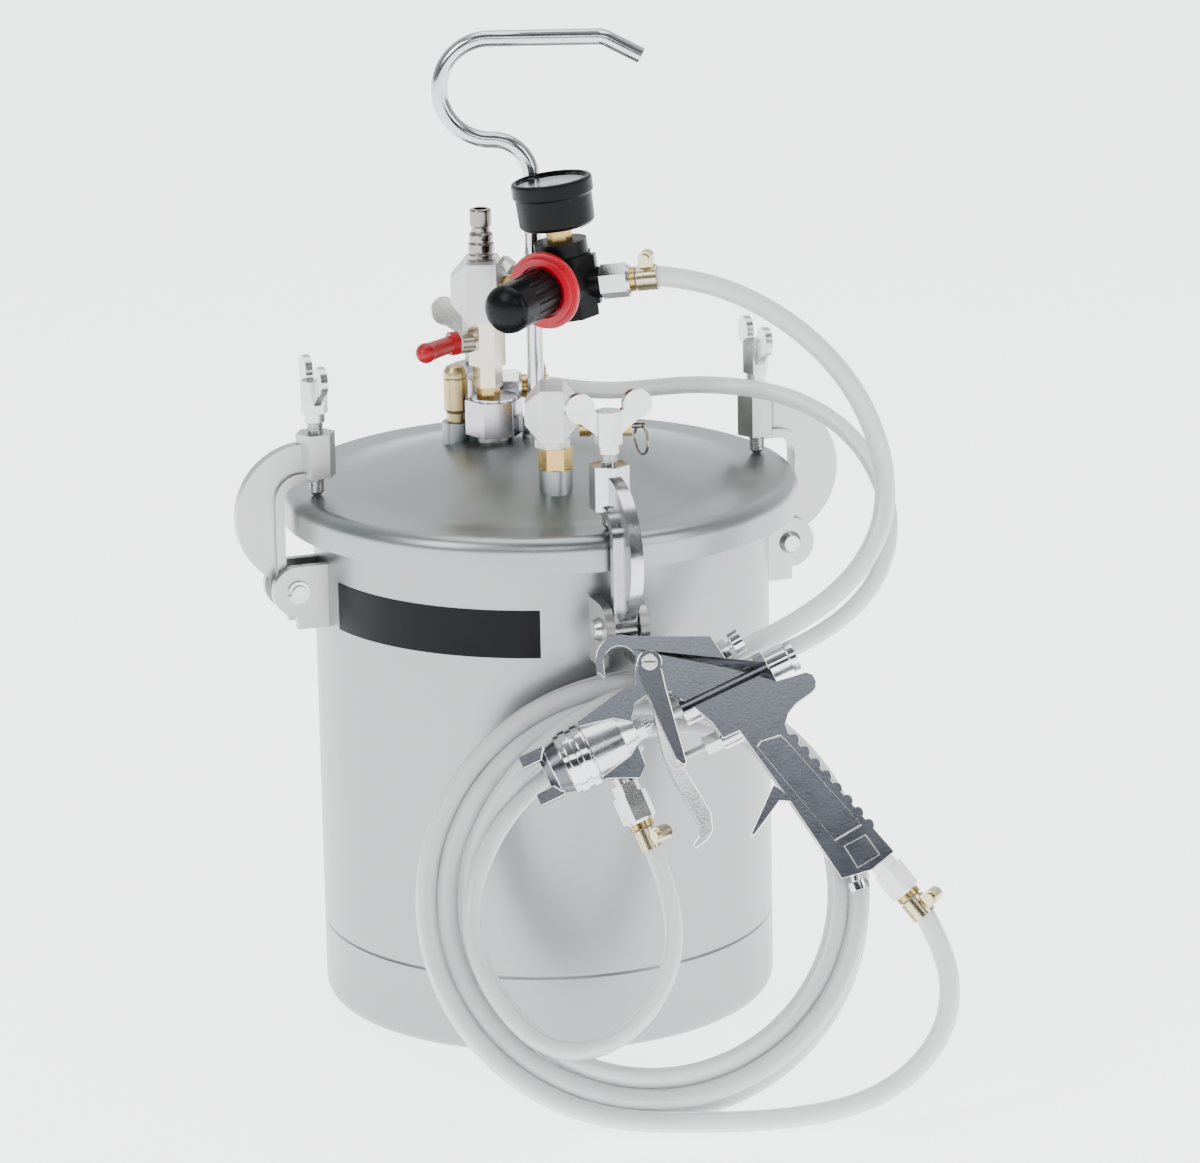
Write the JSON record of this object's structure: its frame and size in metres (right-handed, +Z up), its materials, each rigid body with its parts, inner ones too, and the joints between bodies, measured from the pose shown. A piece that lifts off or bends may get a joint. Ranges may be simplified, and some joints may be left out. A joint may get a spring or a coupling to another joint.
{
  "type": "paint pressure pot with spray gun",
  "caption": "Steel paint pressure pot with a clamped domed lid, an air regulator with a gauge, two clear hoses and a chrome spray gun.",
  "frame": {"origin": "centre of the pot's underside, on the ground", "axes": "+Z up along the pot's axis, -Y towards the coiled hoses and the gun, +X to the right seen from the gun's side"},
  "size_m": [0.3826, 0.4235, 0.5385],
  "materials": {
    "pot_steel": "satin",
    "lid_steel": "satin",
    "cast_steel": "satin cast",
    "zinc": "bright zinc",
    "stud_steel": "machined",
    "rod_steel": "polished",
    "gasket": "matt",
    "plate_black": "printed film",
    "brass": "satin",
    "dull_brass": "matt",
    "chrome": "polished",
    "nickel": "satin nickel",
    "dark_nickel": "bright",
    "satin_nickel": "satin",
    "lever_red": "vinyl",
    "black_paint": "satin",
    "knob_black": "ribbed",
    "ring_red": "gloss",
    "dial_white": "printed",
    "lens": "clear",
    "needle_black": "matt",
    "yellow_zinc": "yellow zinc",
    "hose_clear": "clear vinyl",
    "gun_chrome": "polished"
  },
  "bodies": {
    "pot": {"tank_body": "pot_steel", "lid": "lid_steel", "lid_gasket": "gasket", "name_plate": "plate_black", "clamp_lugs": "cast_steel", "pivot_pins": "zinc", "hook_rod": "rod_steel", "hook_nut": "zinc", "safety_valve": "dull_brass", "inlet_adaptor": "chrome", "brass_nipples": "brass", "ball_valve": "nickel", "manifold": "satin_nickel", "quick_plug": "dark_nickel", "regulator_body": "black_paint", "regulator_ring": "ring_red", "gauge_case": "black_paint", "gauge_dial": "dial_white", "gauge_lens": "lens", "relief_tee": "satin_nickel", "relief_valve": "dull_brass", "fluid_outlet": "zinc", "pickup_tube": "rod_steel", "swivel_nuts": "zinc", "hose_barbs": "yellow_zinc", "hose_clamps": "yellow_zinc", "air_hose_run": "hose_clear", "air_hose_tail": "hose_clear", "fluid_hose_run": "hose_clear", "fluid_hose_tail": "hose_clear", "hose_coil": "hose_clear", "gun_body": "gun_chrome", "trigger_screw": "zinc", "fluid_nozzle": "stud_steel", "gun_fittings": "zinc"},
    "front_arm": {"arm_front": "cast_steel"},
    "front_stud": {"stud_front": "stud_steel"},
    "front_wing": {"wing_front": "zinc"},
    "right_arm": {"arm_right": "cast_steel"},
    "right_stud": {"stud_right": "stud_steel"},
    "right_wing": {"wing_right": "zinc"},
    "back_arm": {"arm_back": "cast_steel"},
    "back_stud": {"stud_back": "stud_steel"},
    "back_wing": {"wing_back": "zinc"},
    "left_arm": {"arm_left": "cast_steel"},
    "left_stud": {"stud_left": "stud_steel"},
    "left_wing": {"wing_left": "zinc"},
    "valve_lever": {"valve_lever": "lever_red", "valve_ball": "chrome"},
    "regulator_knob": {"regulator_knob": "knob_black"},
    "gauge_needle": {"gauge_needle": "needle_black"},
    "relief_pull": {"relief_ring": "zinc"},
    "trigger": {"gun_trigger": "gun_chrome"},
    "fluid_needle": {"fluid_needle": "stud_steel"},
    "air_valve_stem": {"air_valve_stem": "stud_steel"},
    "air_cap": {"air_cap": "gun_chrome", "air_cap_ring": "gun_chrome"},
    "fan_knob": {"fan_knob": "gun_chrome"},
    "fluid_knob": {"fluid_knob": "gun_chrome"},
    "base_knob": {"base_knob": "gun_chrome"}
  },
  "joints": [
    {"name": "front_arm_hinge", "type": "hinge", "parent": "pot", "child": "front_arm", "pos_m": [0.0424, -0.13447, 0.243], "axis": [0.9537, 0.3007, 0], "range_deg": [0, 28]},
    {"name": "front_stud_slide", "type": "slide", "parent": "front_arm", "child": "front_stud", "axis": [0, 0, 1], "range_m": [0, 0.01]},
    {"name": "front_wing_turn", "type": "hinge", "parent": "front_stud", "child": "front_wing", "pos_m": [0.03789, -0.12017, 0.348], "axis": [0, 0, 1], "range_deg": [0, 2880]},
    {"name": "right_arm_hinge", "type": "hinge", "parent": "pot", "child": "right_arm", "pos_m": [0.13447, 0.0424, 0.243], "axis": [-0.3007, 0.9537, 0], "range_deg": [0, 110]},
    {"name": "right_stud_slide", "type": "slide", "parent": "right_arm", "child": "right_stud", "axis": [0, 0, 1], "range_m": [0, 0.01]},
    {"name": "right_wing_turn", "type": "hinge", "parent": "right_stud", "child": "right_wing", "pos_m": [0.12017, 0.03789, 0.348], "axis": [0, 0, 1], "range_deg": [0, 2880]},
    {"name": "back_arm_hinge", "type": "hinge", "parent": "pot", "child": "back_arm", "pos_m": [-0.0424, 0.13447, 0.243], "axis": [-0.9537, -0.3007, 0], "range_deg": [0, 110]},
    {"name": "back_stud_slide", "type": "slide", "parent": "back_arm", "child": "back_stud", "axis": [0, 0, 1], "range_m": [0, 0.01]},
    {"name": "back_wing_turn", "type": "hinge", "parent": "back_stud", "child": "back_wing", "pos_m": [-0.03789, 0.12017, 0.348], "axis": [0, 0, 1], "range_deg": [0, 2880]},
    {"name": "left_arm_hinge", "type": "hinge", "parent": "pot", "child": "left_arm", "pos_m": [-0.13447, -0.0424, 0.243], "axis": [0.3007, -0.9537, 0], "range_deg": [0, 110]},
    {"name": "left_stud_slide", "type": "slide", "parent": "left_arm", "child": "left_stud", "axis": [0, 0, 1], "range_m": [0, 0.01]},
    {"name": "left_wing_turn", "type": "hinge", "parent": "left_stud", "child": "left_wing", "pos_m": [-0.12017, -0.03789, 0.348], "axis": [0, 0, 1], "range_deg": [0, 2880]},
    {"name": "valve_lever_turn", "type": "hinge", "parent": "pot", "child": "valve_lever", "pos_m": [-0.027, 0.002, 0.368], "axis": [-0.9397, -0.342, 0], "range_deg": [0, 90]},
    {"name": "regulator_knob_turn", "type": "hinge", "parent": "pot", "child": "regulator_knob", "pos_m": [0.0165, -0.0245, 0.4065], "axis": [-0.4963, -0.866, -0.0609], "range_deg": [-540, 540]},
    {"name": "gauge_needle_turn", "type": "hinge", "parent": "pot", "child": "gauge_needle", "pos_m": [0.01041, -0.0245, 0.45613], "axis": [-0.1219, 0, 0.9925], "range_deg": [-270, 0]},
    {"name": "relief_pull_slide", "type": "slide", "parent": "pot", "child": "relief_pull", "axis": [1, 0, 0], "range_m": [0, 0.004], "stiffness_N_per_m": 500},
    {"name": "trigger_pull", "type": "hinge", "parent": "pot", "child": "trigger", "pos_m": [0.057, -0.16529, 0.23128], "axis": [0, -0.9304, 0.3665], "range_deg": [0, 10], "stiffness_Nm_per_rad": 0.6, "springref_deg": -17.19},
    {"name": "fluid_needle_slide", "type": "slide", "parent": "pot", "child": "fluid_needle", "axis": [0.9085, 0.1531, 0.3888], "range_m": [0, 0.004]},
    {"name": "air_valve_slide", "type": "slide", "parent": "pot", "child": "air_valve_stem", "axis": [0.9085, 0.1531, 0.3888], "range_m": [0, 0.007]},
    {"name": "air_cap_turn", "type": "hinge", "parent": "pot", "child": "air_cap", "pos_m": [0.0145, -0.18398, 0.18383], "axis": [0.9085, 0.1531, 0.3888], "range_deg": [-90, 90]},
    {"name": "fan_knob_turn", "type": "hinge", "parent": "pot", "child": "fan_knob", "pos_m": [0.094, -0.1632, 0.23658], "axis": [0.866, 0.1833, 0.4652], "range_deg": [0, 720]},
    {"name": "fluid_knob_turn", "type": "hinge", "parent": "pot", "child": "fluid_knob", "pos_m": [0.11898, -0.16637, 0.22854], "axis": [0.9085, 0.1531, 0.3888], "range_deg": [-720, 720]},
    {"name": "base_knob_turn", "type": "hinge", "parent": "pot", "child": "base_knob", "pos_m": [0.162, -0.20645, 0.1268], "axis": [0.2924, -0.3505, -0.8898], "range_deg": [-360, 360]}
  ],
  "couplings": [
    {"joint": "front_stud_slide", "follows": "front_wing_turn", "m_per_rad": 0.000198},
    {"joint": "right_stud_slide", "follows": "right_wing_turn", "m_per_rad": 0.000198},
    {"joint": "back_stud_slide", "follows": "back_wing_turn", "m_per_rad": 0.000198},
    {"joint": "left_stud_slide", "follows": "left_wing_turn", "m_per_rad": 0.000198},
    {"joint": "fluid_needle_slide", "follows": "trigger_pull", "m_per_rad": 0.0229},
    {"joint": "air_valve_slide", "follows": "trigger_pull", "m_per_rad": 0.0401}
  ]
}
